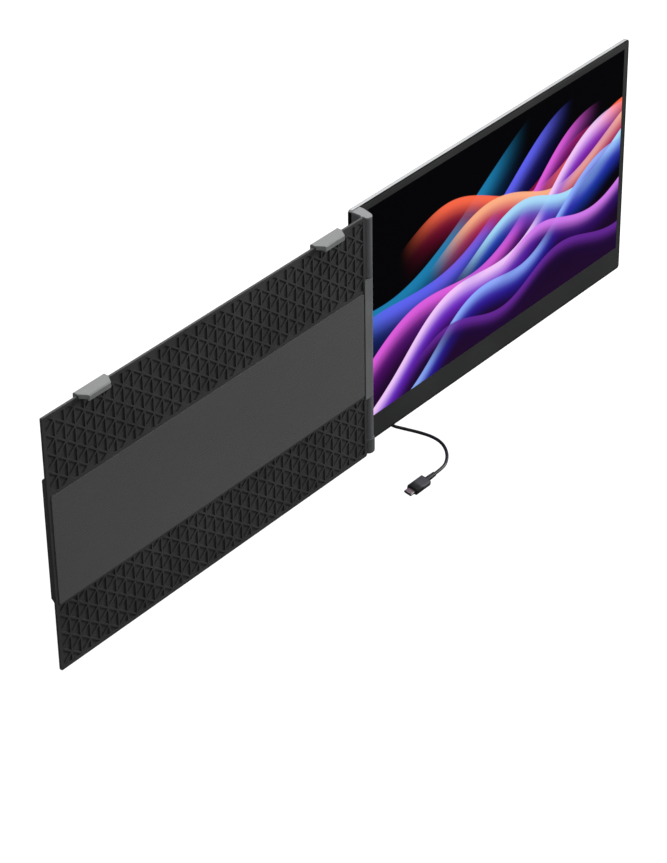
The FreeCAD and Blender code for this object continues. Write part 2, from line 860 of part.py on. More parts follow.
def stand_outline(x):
    """Side view: flat front, rounded top corner, and a lower edge that slopes to the pivot."""
    dy = stand_back_y - stand_axis_y
    dz = stand_shoulder_z - stand_axis_z
    away = math.hypot(dy, dz)
    heading = math.atan2(dz, dy)
    touch = heading - math.acos(stand_knuckle_radius / away)
    touch_y = stand_axis_y + stand_knuckle_radius * math.cos(touch)
    touch_z = stand_axis_z + stand_knuckle_radius * math.sin(touch)
    return [
        (x, stand_front_y, stand_axis_z),
        (x, stand_axis_y, stand_axis_z),
        (x, touch_y, touch_z),
        (x, stand_back_y, stand_shoulder_z),
        (x, stand_back_y, stand_top_z),
        (x, stand_front_y, stand_top_z),
    ]


def stand_panel():
    width = stand_right - stand_left
    body = outline(stand_outline(stand_left), (width, 0, 0))
    body = union([body, rod_x(stand_left, stand_right, stand_axis_y, stand_axis_z, stand_knuckle_radius)])
    body = fillet_where(body, stand_top_radius,
                        lambda e: runs_along(e, V(1, 0, 0)) and abs(e.CenterOfMass.y - stand_back_y) < 1e-6
                        and abs(e.CenterOfMass.z - stand_top_z) < 1e-6)
    w = stand_wall
    tools = [box(stand_left + w, stand_right - w, stand_front_y, stand_back_y - w,
                 stand_hollow_z, stand_top_z - w - stand_foot_depth)]
    for x in stand_hinge_x:
        half = stand_notch_width / 2
        ear = stand_ear_width + 2 * stand_ear_gap
        top = stand_axis_z + stand_notch_height
        low = stand_axis_z - stand_knuckle_radius
        for side in (-1, 1):
            near = x + side * (half - ear)
            far = x + side * half
            tools.append(box(min(near, far), max(near, far), stand_front_y, stand_back_y, low, top))
        bore = stand_pin_radius + stand_pin_clearance
        tools.append(rod_x(x - half, x + half, stand_axis_y, stand_axis_z, bore))
    middle_x = (stand_left + stand_right) / 2
    middle_y = (stand_front_y + stand_back_y - stand_top_radius) / 2
    tools.append(box(middle_x - stand_foot_length / 2, middle_x + stand_foot_length / 2,
                     middle_y - stand_foot_width / 2, middle_y + stand_foot_width / 2,
                     stand_top_z - stand_foot_depth, stand_top_z))
    return cut_all(body, tools)


def stand_foot():
    c = 0.05
    middle_x = (stand_left + stand_right) / 2
    middle_y = (stand_front_y + stand_back_y - stand_top_radius) / 2
    return box(middle_x - stand_foot_length / 2 + c, middle_x + stand_foot_length / 2 - c,
               middle_y - stand_foot_width / 2 + c, middle_y + stand_foot_width / 2 - c,
               stand_top_z - stand_foot_depth, stand_top_z)


def stand_core():
    w = stand_wall + 0.3
    back = stand_back_y - stand_wall
    return box(stand_left + w, stand_right - w, back - stand_core_thickness, back,
               stand_hollow_z + 0.3, stand_top_z - w - stand_foot_depth)


def stand_ears():
    """Two pairs of ears that stand on the bracket's back and hold the pivot pins."""
    ears = []
    for x in stand_hinge_x:
        half = stand_notch_width / 2
        for side in (-1, 1):
            near = x + side * (half - stand_ear_gap - stand_ear_width)
            far = x + side * (half - stand_ear_gap)
            x0 = min(near, far)
            x1 = max(near, far)
            round_end = rod_x(x0, x1, stand_axis_y, stand_axis_z, stand_knuckle_radius)
            foot = box(x0, x1, frame_back_y, stand_axis_y, stand_axis_z - stand_knuckle_radius,
                       stand_axis_z + stand_knuckle_radius)
            bore = rod_x(x0, x1, stand_axis_y, stand_axis_z, stand_pin_radius + stand_pin_clearance)
            ears.append(union([round_end, foot]).cut(bore))
    return group(ears)


def stand_pins():
    half = stand_notch_width / 2 - stand_ear_gap
    return group([rod_x(x - half, x + half, stand_axis_y, stand_axis_z, stand_pin_radius)
                  for x in stand_hinge_x])


# cable and plugs

def cable_tube(points, diameter):
    """A tube along straight runs with a tangent arc at each corner, as large as the runs allow."""
    corners = [V(*p) for p in points]
    edges = []
    here = corners[0]
    radii = []
    for i in range(1, len(corners) - 1):
        before = corners[i - 1] - corners[i]
        after = corners[i + 1] - corners[i]
        turn = math.pi - before.getAngle(after)
        reach = 0.45 * min(before.Length, after.Length)
        radii.append(reach / math.tan(turn / 2))
        start = corners[i] + before.normalize() * reach
        end = corners[i] + after.normalize() * reach
        inward = (before + after).normalize()
        centre = corners[i] + inward * (radii[-1] / math.cos(turn / 2))
        middle = centre - inward * radii[-1]
        edges.append(Part.LineSegment(here, start).toShape())
        edges.append(Part.Arc(start, middle, end).toShape())
        here = end
    edges.append(Part.LineSegment(here, corners[-1]).toShape())
    path = Part.Wire(edges)
    heading = corners[1] - corners[0]
    ring = Part.Wire([Part.makeCircle(diameter / 2, corners[0], heading)])
    tube = path.makePipeShell([ring], True, False)
    area = math.pi * diameter * diameter / 4
    print("cable bend radii", [round(r, 1) for r in radii])
    print("cable length %.1f, volume %.1f, section times length %.1f"
          % (path.Length, tube.Volume, area * path.Length))
    return tube


def plug_body(along):
    """Flat moulded grip standing along +Z, its plug end at z = 0 and its tail at z = -along."""
    half = plug_width / 2
    high = plug_thickness / 2
    body = box(-half, half, -high, high, -along, 0)
    return fillet_where(body, plug_corner_radius, lambda e: runs_along(e, V(0, 0, 1)))


def plug_shell():
    half = plug_shell_width / 2
    high = plug_shell_height / 2
    w = plug_shell_wall
    tube = box(-half, half, -high, high, 0, plug_shell_length)
    tube = fillet_where(tube, high - 0.01, lambda e: runs_along(e, V(0, 0, 1)))
    return tube.cut(box(-half + high * 0.55, half - high * 0.55, -high + w, high - w, 0, plug_shell_length))


def strain_relief(along):
    return Part.makeCone(relief_tip_radius, relief_radius, along, V(0, 0, 0), V(0, 0, 1))


def place(shape, position, turns):
    """Turn a shape about the row's axes in order, then move it."""
    moved = shape.copy()
    for axis, angle in turns:
        moved.rotate(V(0, 0, 0), V(*axis), angle)
    moved.translate(V(*position))
    return moved


def monitor_plug(shape, offset_z):
    return place(shape, (port_x[0], port_y, box_bottom_z - plug_seat_gap + offset_z), [])


def host_plug(shape, back_from_end):
    """The host's plug points along -X, leaning with the host's own level."""
    x, y, z = host_plug_end
    turns = [((0, 0, 1), 90.0), ((0, 1, 0), -90.0), ((1, 0, 0), host_plug_tilt)]
    return place(shape, (x - back_from_end, y, z), turns)


save("frame_front", frame_front())
save("rear_cover", rear_cover())
save("cover_screws", cover_screws())
save("rest_band", rest_band())

for side, x in clamp_x.items():
    save("clamp_hook_" + side, clamp_hook(x))
    save("jaw_pad_" + side, jaw_pad(x))
    save("slide_strip_" + side, slide_strip(x))
    save("clamp_springs_" + side, clamp_springs(x))
    save("stop_stud_" + side, stop_stud(x))

save("middle_knuckle", middle_knuckle())
save("tongue_screws", tongue_screws())
save("hinge_bar_upper", hinge_bar(upper_bar_z, bar_top_z, upper_bar_z, upper_bar_z + shaft_grip))
save("hinge_bar_lower", hinge_bar(bar_bottom_z, lower_bar_z, lower_bar_z - shaft_grip, lower_bar_z))
save("hinge_top_cap", top_cap())
save("hinge_bottom_cap", bottom_cap())
save("hinge_shaft_upper", hinge_shaft(knuckle_top_z - shaft_grip + 0.3, upper_bar_z + shaft_grip))
save("hinge_shaft_lower", hinge_shaft(lower_bar_z - shaft_grip, knuckle_bottom_z + shaft_grip - 0.3))
save("friction_washers", group([friction_washer(knuckle_top_z), friction_washer(lower_bar_z)]))
save("hinge_stiffener", stiffener())
save("hinge_screws", hinge_screws())

save("front_bezel", front_bezel())
save("display_glass", display_glass())
save("display_panel", display_panel())
save("back_shell", back_shell())
save("control_box", control_box())
save("driver_board", driver_board())
save("board_spacers", board_spacers())
save("speakers", speakers())
save("usb_ports", group([port_shell(x, port_shell_width) for x in port_x[:2]]))
save("video_port", port_shell(port_x[2], video_port_width))
for name, x in zip(("power", "up", "down"), button_x):
    save("button_" + name, button(x))

save("stand_panel", stand_panel())
save("stand_core", stand_core())
save("stand_foot", stand_foot())
save("stand_ears", stand_ears())
save("stand_pins", stand_pins())

save("cable", cable_tube(cable_route, cable_diameter))
save("monitor_plug_body", monitor_plug(plug_body(plug_length), 0.0))
save("monitor_plug_shell", monitor_plug(plug_shell(), 0.0))
save("monitor_strain_relief", monitor_plug(strain_relief(relief_length), -plug_length - relief_length))
save("host_plug_body", host_plug(plug_body(plug_length), relief_length + plug_length))
save("host_plug_shell", host_plug(plug_shell(), relief_length + plug_length))
save("host_strain_relief", host_plug(strain_relief(relief_length), 0.0))
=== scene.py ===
"""Finishes, moulded plugs, cable, light and camera of a second screen that clips behind a hinged lid.

Lengths are in metres in the shared frame: +X right along the screens, +Y back, +Z up.
"""

import logging
import math
from dataclasses import dataclass, field
from enum import Enum
from typing import Optional, Sequence

import bpy
import numpy as np
from mathutils import Matrix, Vector


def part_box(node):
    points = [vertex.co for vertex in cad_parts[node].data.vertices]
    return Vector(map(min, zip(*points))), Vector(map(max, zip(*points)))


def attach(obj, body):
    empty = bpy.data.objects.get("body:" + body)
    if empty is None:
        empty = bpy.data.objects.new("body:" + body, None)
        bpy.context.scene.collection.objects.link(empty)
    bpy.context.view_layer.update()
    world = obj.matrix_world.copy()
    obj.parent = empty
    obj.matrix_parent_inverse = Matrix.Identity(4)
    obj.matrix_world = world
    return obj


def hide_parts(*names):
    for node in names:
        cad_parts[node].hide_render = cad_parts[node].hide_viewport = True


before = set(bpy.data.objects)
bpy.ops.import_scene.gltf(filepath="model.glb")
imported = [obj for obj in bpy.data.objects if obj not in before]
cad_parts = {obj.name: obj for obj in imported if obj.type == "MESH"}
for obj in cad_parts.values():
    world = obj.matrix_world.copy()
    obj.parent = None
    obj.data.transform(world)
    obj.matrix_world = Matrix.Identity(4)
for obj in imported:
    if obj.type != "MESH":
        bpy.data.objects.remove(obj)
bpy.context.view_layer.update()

logging.basicConfig(level=logging.INFO, format="%(name)s: %(message)s")
LOG = logging.getLogger("second_screen")

MM = 0.001
WHITE = (1.0, 1.0, 1.0, 1.0)
MONITOR_BODY = "monitor"

# Every finish's patches and grain: how fine their noise goes, and the part of it that a ramp uses.
PATCH_DETAIL = 3.0
PATCH_BAND = (0.3, 0.7)
GRAIN_DETAIL = 2.0
GRAIN_ROUGHNESS = 0.6
GRAIN_BAND = (0.35, 0.65)
# How far the grain moves the blend of the two tones.
SPECK = 0.2
COAT_ROUGHNESS = 0.15
# The wave texture's scale for one band per metre.
WAVE_BAND = 2 * math.pi / 20
# The width over which the painted shade ends.
SHADE_BORDER_MM = 0.1

Point = tuple[float, float, float]
Tree = bpy.types.NodeTree
Socket = bpy.types.NodeSocket


class Heading(Enum):
    """Which way a plug points: the direction of its metal end."""

    UP = (0.0, 0.0, 1.0)
    LEFT = (-1.0, 0.0, 0.0)


def linear(colour: str) -> tuple[float, float, float, float]:
    """Turns an sRGB hex colour into linear light.

    Args:
        colour: six hex digits with a leading hash.

    Returns:
        Red, green and blue in linear light, and an alpha of 1.
    """
    parts = [int(colour[i:i + 2], 16) / 255 for i in (1, 3, 5)]
    light = [p / 12.92 if p <= 0.04045 else ((p + 0.055) / 1.055) ** 2.4 for p in parts]
    return (light[0], light[1], light[2], 1.0)


def add_node(tree: Tree, kind: str, settings: Optional[dict] = None,
             links: Optional[dict] = None) -> bpy.types.Node:
    """Adds one shader node with its settings and incoming links.

    Args:
        tree: the material's or world's node tree.
        kind: the node's type name.
        settings: attribute names to values, and input sockets by index or name to values.
        links: input sockets by index or name to the output sockets that feed them.

    Returns:
        The new node.
    """
    node = tree.nodes.new(kind)
    for key, value in (settings or {}).items():
        if isinstance(key, int) or key in node.inputs:
            node.inputs[key].default_value = value
        else:
            setattr(node, key, value)
    for key, source in (links or {}).items():
        tree.links.new(source, node.inputs[key])
    return node


def mix_colours(tree: Tree, share: Socket, first: Socket | tuple, second: Socket | tuple) -> Socket:
    """Mixes two colours.

    Args:
        tree: the material's node tree.
        share: how much of the second colour there is, from 0 to 1.
        first: the first colour, as a socket or in linear light.
        second: the second colour, likewise.

    Returns:
        The mixed colour.
    """
    settings: dict = {"data_type": "RGBA"}
    links = {0: share}
    for place, colour in ((6, first), (7, second)):
        (settings if isinstance(colour, tuple) else links)[place] = colour
    return add_node(tree, "ShaderNodeMix", settings, links).outputs[2]


def empty_material(name: str) -> tuple[bpy.types.Material, Tree]:
    """Makes a material with no nodes in its tree.

    Args:
        name: the material's name.

    Returns:
        The material and its empty node tree.
    """
    material = bpy.data.materials.new(name)
    material.use_nodes = True
    material.node_tree.nodes.clear()
    return material, material.node_tree


@dataclass(frozen=True)
class Finish:
    """A solid surface: soft colour patches, a grain in relief and a roughness that drifts.

    The colour runs between two tones with a slow noise, patch_mm from one patch to the next. The
    grain is a fine noise with a spacing of grain_mm that stands grain_depth_mm high. Both can be
    drawn out along one axis by stretch, as brushing and rolling do.
    """

    name: str
    tone: str
    other_tone: str
    roughness: float
    roughness_drift: float = 0.06
    patch_mm: float = 60.0
    grain_mm: float = 1.6
    grain_depth_mm: float = 0.02
    metallic: float = 0.0
    ior: float = 1.5
    coat: float = 0.0
    sheen: float = 0.0
    stretch: Point = (1.0, 1.0, 1.0)

    def build(self) -> bpy.types.Material:
        """Makes the material.

        Returns:
            The finished material.
        """
        material, tree = empty_material(self.name)
        coords = add_node(tree, "ShaderNodeTexCoord")
        drawn = add_node(tree, "ShaderNodeMapping", {"Scale": self.stretch},
                         {"Vector": coords.outputs["Object"]})
        place = drawn.outputs["Vector"]
        patch = add_node(tree, "ShaderNodeTexNoise",
                         {"Scale": 1 / (self.patch_mm * MM), "Detail": PATCH_DETAIL}, {"Vector": place})
        grain = add_node(tree, "ShaderNodeTexNoise",
                         {"Scale": 1 / (self.grain_mm * MM), "Detail": GRAIN_DETAIL,
                          "Roughness": GRAIN_ROUGHNESS}, {"Vector": place})
        speck = add_node(tree, "ShaderNodeMapRange",
                         {"From Min": GRAIN_BAND[0], "From Max": GRAIN_BAND[1], "To Min": -SPECK,
                          "To Max": SPECK}, {"Value": grain.outputs["Fac"]})
        blend = add_node(tree, "ShaderNodeMath", {"operation": "ADD", "use_clamp": True},
                         {0: patch.outputs["Fac"], 1: speck.outputs["Result"]})
        colour = mix_colours(tree, blend.outputs["Value"], linear(self.tone), linear(self.other_tone))
        drift = add_node(tree, "ShaderNodeMapRange",
                         {"From Min": PATCH_BAND[0], "From Max": PATCH_BAND[1],
                          "To Min": self.roughness - self.roughness_drift,
                          "To Max": self.roughness + self.roughness_drift}, {"Value": patch.outputs["Fac"]})
        relief = add_node(tree, "ShaderNodeBump", {"Strength": 1.0, "Distance": self.grain_depth_mm * MM},
                          {"Height": self.height(tree, place, grain.outputs["Fac"])})
        shader = add_node(tree, "ShaderNodeBsdfPrincipled",
                          {"Metallic": self.metallic, "IOR": self.ior, "Coat Weight": self.coat,
                           "Coat Roughness": COAT_ROUGHNESS, "Sheen Weight": self.sheen},
                          {"Base Color": self.tint(tree, coords.outputs["Object"], colour),
                           "Roughness": drift.outputs["Result"], "Normal": relief.outputs["Normal"]})
        add_node(tree, "ShaderNodeOutputMaterial", links={"Surface": shader.outputs["BSDF"]})
        return material

    def tint(self, tree: Tree, place: Socket, colour: Socket) -> Socket:
        """The surface's colour: the two tones alone, unless a kind of finish adds to them."""
        return colour

    def height(self, tree: Tree, place: Socket, grain: Socket) -> Socket:
        """The surface's relief: the grain alone, unless a kind of finish adds to it."""
        return grain


@dataclass(frozen=True)
class ShadePaintedFinish(Finish):
    """A finish with painted shade: near black in front of one plane and left of another.

    The painted shade covers every point whose y is below front_mm or whose x is below left_mm, in the
    piece's own millimetres, and ends softly over the shade border width. It stands in for the shade on faces
    turned from the light.
    """

    # The colour of the painted shade.
    shade_tone: str = "#000000"
    front_mm: float = 0.0
    left_mm: float = 0.0

    def tint(self, tree: Tree, place: Socket, colour: Socket) -> Socket:
        """Lays the painted shade over the two tones.

        Args:
            tree: the material's node tree.
            place: the object coordinates in metres.
            colour: the colour without its painted shade.

        Returns:
            The colour with its painted shade at the borders.
        """
        # Painted shade: darkens the front lip and the side towards the hinge, which turn from the light.
        parts = add_node(tree, "ShaderNodeSeparateXYZ", links={"Vector": place})
        sides = [add_node(tree, "ShaderNodeMapRange",
                          {"From Min": limit * MM, "From Max": (limit - SHADE_BORDER_MM) * MM},
                          {"Value": parts.outputs[axis]})
                 for axis, limit in (("Y", self.front_mm), ("X", self.left_mm))]
        share = add_node(tree, "ShaderNodeMath", {"operation": "MAXIMUM"},
                         {0: sides[0].outputs["Result"], 1: sides[1].outputs["Result"]})
        return mix_colours(tree, share.outputs["Value"], colour, linear(self.shade_tone))


@dataclass(frozen=True)
class RibbedFinish(Finish):
    """A finish with fine moulded ribs: the relief is the grain plus a sine wave across one axis."""

    rib_mm: float = 3.0
    rib_axis: str = "Z"
    rib_share: float = 1.0

    def height(self, tree: Tree, place: Socket, grain: Socket) -> Socket:
        """Adds a wave with one crest every rib_mm along rib_axis.

        Args:
            tree: the material's node tree.
            place: the coordinates in metres.
            grain: the grain's height.

        Returns:
            The height of grain and ribs together.
        """
        ribs = add_node(tree, "ShaderNodeTexWave",
                        {"bands_direction": self.rib_axis, "Scale": WAVE_BAND / (self.rib_mm * MM),
                         "Distortion": 0.0}, {"Vector": place})
        total = add_node(tree, "ShaderNodeMath", {"operation": "MULTIPLY_ADD", 1: self.rib_share},
                         {0: ribs.outputs["Fac"], 2: grain})
        return total.outputs["Value"]


@dataclass(frozen=True)
class Ribbon:
    """A fold of silk: a bright crest line and a body that fades out below it, in picture widths.

    The crest is height + slope * x + swell * sin(2 pi (x / wave + phase)). The fold is seen from
    x = start to x = end and is depth deep.
    """

    height: float
    slope: float
    swell: float
    wave: float
    phase: float
    depth: float
    start: float
    end: float
    crest: str
    body: str
    cover: float = 0.95


@dataclass(frozen=True)
class LitDisplay:
    """A bonded display front that is switched on, with a plain abstract picture of our own.

    The picture is a stack of silk folds over a near-black ground, each laid over the last one. A
    slow noise bends them all a little, and fine threads follow each crest. Positions and lengths in
    it are shares of the display's width.
    """

    name: str
    left: float
    bottom: float
    width: float
    ground: str
    ribbons: tuple[Ribbon, ...]
    bend: float = 0.06
    bend_scale: float = 2.2
    bend_detail: float = 0.5
    night: tuple[float, float, float, float] = (0.0002, 0.0002, 0.0004, 1.0)
    glow_height: float = 0.26
    end_fade: float = 0.22
    crest_softness: float = 0.0015
    thread_count: float = 70.0
    thread_depth: float = 0.045
    shine_power: float = 7.0
    glass: tuple[float, float, float, float] = (0.001, 0.001, 0.0015, 1.0)
    glass_roughness: float = 0.10
    glass_specular: float = 0.06

    def build(self) -> bpy.types.Material:
        """Makes the material of the display's front.

        Returns:
            The finished material.
        """
        material, tree = empty_material(self.name)
        coords = add_node(tree, "ShaderNodeTexCoord")
        flat = add_node(tree, "ShaderNodeVectorMath",
                        {"operation": "MULTIPLY", 1: (1 / self.width, 0.0, 1 / self.width)},
                        {0: coords.outputs["Object"]})
        corner = (self.left / self.width, 0.0, self.bottom / self.width)
        picture = add_node(tree, "ShaderNodeVectorMath", {"operation": "SUBTRACT", 1: corner},
                           {0: flat.outputs["Vector"]})
        drift = add_node(tree, "ShaderNodeTexNoise", {"Scale": self.bend_scale, "Detail": self.bend_detail},
                         {"Vector": picture.outputs["Vector"]})
        offset = add_node(tree, "ShaderNodeVectorMath", {"operation": "SUBTRACT", 1: (0.5, 0.5, 0.5)},
                          {0: drift.outputs["Color"]})
        bent = add_node(tree, "ShaderNodeVectorMath",
                        {"operation": "MULTIPLY_ADD", 1: (self.bend, 0.0, self.bend)},
                        {0: offset.outputs["Vector"], 2: picture.outputs["Vector"]})
        parts = add_node(tree, "ShaderNodeSeparateXYZ", links={"Vector": bent.outputs["Vector"]})
        light = self.ground_glow(tree, parts.outputs["Z"])
        for ribbon in self.ribbons:
            light = self.lay_ribbon(tree, parts, light, ribbon)
        shader = add_node(tree, "ShaderNodeBsdfPrincipled",
                          {"Base Color": self.glass, "Roughness": self.glass_roughness,
                           "Specular IOR Level": self.glass_specular, "Emission Strength": 1.0},
                          {"Emission Color": light})
        add_node(tree, "ShaderNodeOutputMaterial", links={"Surface": shader.outputs["BSDF"]})
        return material

    def ground_glow(self, tree: Tree, height: Socket) -> Socket:
        """A near-black ground that warms towards the bottom edge.

        Args:
            tree: the material's node tree.
            height: the height in the picture.

        Returns:
            The ground's light.
        """
        fade = add_node(tree, "ShaderNodeMapRange",
                        {"interpolation_type": "SMOOTHSTEP", "From Min": self.glow_height, "From Max": 0.0},
                        {"Value": height})
        return mix_colours(tree, fade.outputs["Result"], self.night, linear(self.ground))

    def ramp(self, tree: Tree, value: Socket, low: float, high: float) -> Socket:
        """A soft step.

        Args:
            tree: the material's node tree.
            value: what is stepped.
            low: the value that gives 0.
            high: the value that gives 1.

        Returns:
            The step, from 0 to 1.
        """
        step = add_node(tree, "ShaderNodeMapRange",
                        {"interpolation_type": "SMOOTHERSTEP", "From Min": low, "From Max": high},
                        {"Value": value})
        return step.outputs["Result"]

    def math(self, tree: Tree, operation: str, first: Socket, second: float | Socket = 0.0,
             third: float | Socket = 0.0) -> Socket:
        """One arithmetic step on sockets and numbers.

        Args:
            tree: the material's node tree.
            operation: the math node's operation.
            first: its first value.
            second: its second value.
            third: its third value.

        Returns:
            The result.
        """
        settings: dict = {"operation": operation}
        links = {0: first}
        for place, value in ((1, second), (2, third)):
            if isinstance(value, float):
                settings[place] = value
            else:
                links[place] = value
        return add_node(tree, "ShaderNodeMath", settings, links).outputs["Value"]

    def lay_ribbon(self, tree: Tree, parts: bpy.types.Node, below: Socket, ribbon: Ribbon) -> Socket:
        """Lays one fold over the picture so far.

        Args:
            tree: the material's node tree.
            parts: the node that gives the bent picture coordinates one by one.
            below: the light so far.
            ribbon: the fold to lay.

        Returns:
            The light with the fold on top.
        """
        across, up = parts.outputs["X"], parts.outputs["Z"]
        turn = self.math(tree, "MULTIPLY_ADD", across, 2 * math.pi / ribbon.wave, 2 * math.pi * ribbon.phase)
        swing = self.math(tree, "MULTIPLY_ADD", self.math(tree, "SINE", turn), ribbon.swell, ribbon.height)
        crest = self.math(tree, "MULTIPLY_ADD", across, ribbon.slope, swing)
        under = self.math(tree, "SUBTRACT", crest, up)
        fade = self.ramp(tree, under, ribbon.depth, 0.0)
        edge = self.ramp(tree, under, -self.crest_softness, self.crest_softness)
        start = self.ramp(tree, across, ribbon.start, ribbon.start + self.end_fade)
        end = self.ramp(tree, across, ribbon.end, ribbon.end - self.end_fade)
        ends = self.math(tree, "MULTIPLY", start, end)
        root = self.math(tree, "POWER", fade, 0.5)
        threads = self.math(tree, "SINE", self.math(tree, "MULTIPLY", root, self.thread_count))
        silk = self.math(tree, "MULTIPLY_ADD", threads, self.thread_depth, 1 - self.thread_depth)
        shape = self.math(tree, "MULTIPLY", self.math(tree, "MULTIPLY", fade, edge), ends)
        alpha = self.math(tree, "MULTIPLY", shape, ribbon.cover)
        shine = self.math(tree, "MULTIPLY", self.math(tree, "POWER", fade, self.shine_power), silk)
        colour = mix_colours(tree, shine, linear(ribbon.body), linear(ribbon.crest))
        return mix_colours(tree, alpha, below, colour)


# ABS, injection moulded in a spark-eroded tool: an even matt grain, very dark grey.
# The real grain is about 0.1 mm, too fine to show, so it is drawn at about 1.5 mm.
ABS_FRAME = Finish("abs_spark_eroded_dark", "#28282a", "#333335", 0.56, patch_mm=45, grain_mm=1.5,
                   grain_depth_mm=0.05)
# The same plastic on the folding stand, from its own tool, a touch lighter.
ABS_STAND = Finish("abs_spark_eroded_stand", "#2e2e30", "#39393b", 0.58, patch_mm=55, grain_mm=1.7,
                   grain_depth_mm=0.05)
# ABS with a fine silk texture around the display: even charcoal.
ABS_BEZEL = Finish("abs_silk_bezel", "#212222", "#282929", 0.50, patch_mm=90, grain_mm=1.4,
                   grain_depth_mm=0.02)
# ABS cover of the electronics: same family as the frame, with a coarser grain.
ABS_BOX = Finish("abs_moulded_box", "#242527", "#2e2f31", 0.60, patch_mm=70, grain_mm=1.8,
                 grain_depth_mm=0.06)
# Glass-filled nylon clamps, moulded and lightly tumbled: mid grey and satin.
NYLON_CLAMP = Finish("glass_filled_nylon_grey", "#6a6b6c", "#787979", 0.42, patch_mm=14, grain_mm=1.2,
                     grain_depth_mm=0.03)
# Thermoplastic elastomer band, moulded with fine ribs so that it grips: dead matt.
TPE_BAND = RibbedFinish("tpe_band_fine_ribs", "#2a2a2b", "#333334", 0.78, patch_mm=120, grain_mm=1.6,
                        grain_depth_mm=0.10, sheen=0.15, rib_mm=3.0, rib_axis="Z")
# Silicone pads and foot: matt black with dust in the grain.
SILICONE = Finish("silicone_matt_black", "#161617", "#222223", 0.72, patch_mm=8, grain_mm=1.2,
                  grain_depth_mm=0.04, sheen=0.2)
# Zinc die casting under a satin powder coat: slight orange peel.
ZINC_HINGE = Finish("zinc_casting_powder_coat", "#5a5b5e", "#666769", 0.32, patch_mm=30, grain_mm=1.8,
                    grain_depth_mm=0.03, metallic=0.15)
# The same casting on the fixed knuckle, with a thinner coat that looks lighter.
ZINC_KNUCKLE = Finish("zinc_casting_light_coat", "#6a6b6c", "#757677", 0.42, patch_mm=30, grain_mm=1.8,
                      grain_depth_mm=0.03, metallic=0.25)
# Aluminium cap on top of the hinge, blasted and clear anodised: pale satin grey.
ALUMINIUM_CAP = Finish("aluminium_blasted_cap", "#77787a", "#848587", 0.48, patch_mm=6, grain_mm=1.0,
                       grain_depth_mm=0.02, metallic=0.3)
# Nylon cap under the hinge, moulded dark.
NYLON_CAP = Finish("nylon_cap_dark", "#4a4b4c", "#565758", 0.46, patch_mm=8, grain_mm=1.2,
                   grain_depth_mm=0.03)
# Aluminium shell, bead blasted and clear anodised: silver, with its front lip and hinge side painted black
# as painted shade, where those faces turn from the light.
ALUMINIUM_SHELL = ShadePaintedFinish("aluminium_anodised_shell", "#9a9b9d", "#a6a7a9", 0.34, patch_mm=120,
                               grain_mm=1.1, grain_depth_mm=0.015, metallic=0.7, shade_tone="#0e0e0f",
                               front_mm=18.9, left_mm=195.7)
# Cold rolled steel strip, drawn grain along its length.
STEEL_ROLLED = Finish("steel_cold_rolled", "#8f9092", "#a7a8aa", 0.34, patch_mm=20, grain_mm=1.0,
                      grain_depth_mm=0.02, metallic=1.0, stretch=(1.0, 1.0, 0.08))
# Screws and washers in black oxide.
STEEL_BLACK = Finish("steel_black_oxide", "#26272a", "#34353a", 0.40, patch_mm=3, grain_mm=0.6,
                     grain_depth_mm=0.01, metallic=0.9)
# Drawn spring wire.
STEEL_SPRING = RibbedFinish("steel_spring_wire", "#9a9b9d", "#b4b5b7", 0.28, patch_mm=6, grain_mm=0.8,
                            grain_depth_mm=0.12, metallic=1.0, rib_mm=0.9, rib_axis="Z", rib_share=3.0)
# Nickel on stamped steel: sockets and plug shells.
NICKEL_PLATE = Finish("nickel_on_stamped_steel", "#b9bab8", "#cacbc9", 0.22, patch_mm=5, grain_mm=0.8,
                      grain_depth_mm=0.008, metallic=1.0)
# Turned brass spacers.
BRASS_TURNED = Finish("brass_turned", "#b08d4f", "#c4a266", 0.28, patch_mm=3, grain_mm=0.5,
                      grain_depth_mm=0.01, metallic=1.0)
# Woven glass board under green solder mask: the weave shows as faint ribs.
SOLDER_MASK = RibbedFinish("glass_board_solder_mask", "#14442b", "#1c5a3a", 0.34, patch_mm=12, grain_mm=1.0,
                           grain_depth_mm=0.03, coat=0.3, rib_mm=1.2, rib_axis="X")
# Paper-cone speaker units in a moulded frame.
SPEAKER_BODY = Finish("polymer_speaker_body", "#19191a", "#262627", 0.6, patch_mm=10, grain_mm=1.0)
# Thermoplastic cable jacket, extruded: black and satin.
CABLE_JACKET = Finish("tpe_extruded_jacket", "#0b0b0c", "#121213", 0.46, patch_mm=12, grain_mm=0.9,
                      grain_depth_mm=0.015)
# Overmoulded plug grips: very dark grey, a little rougher than the jacket.
PLUG_GRIP = Finish("tpe_overmould_grip", "#2a2b2d", "#343537", 0.52, patch_mm=6, grain_mm=0.9,
                   grain_depth_mm=0.02)
# Small keys in moulded acetal.
ACETAL_KEY = Finish("acetal_key", "#35363a", "#404146", 0.38, patch_mm=4, grain_mm=0.8, grain_depth_mm=0.01)
# Backlight and panel edge: a dark laminated sheet.
PANEL_EDGE = Finish("laminated_panel_edge", "#0c0d10", "#15161a", 0.3, patch_mm=20, grain_mm=1.2,
                    grain_depth_mm=0.01)


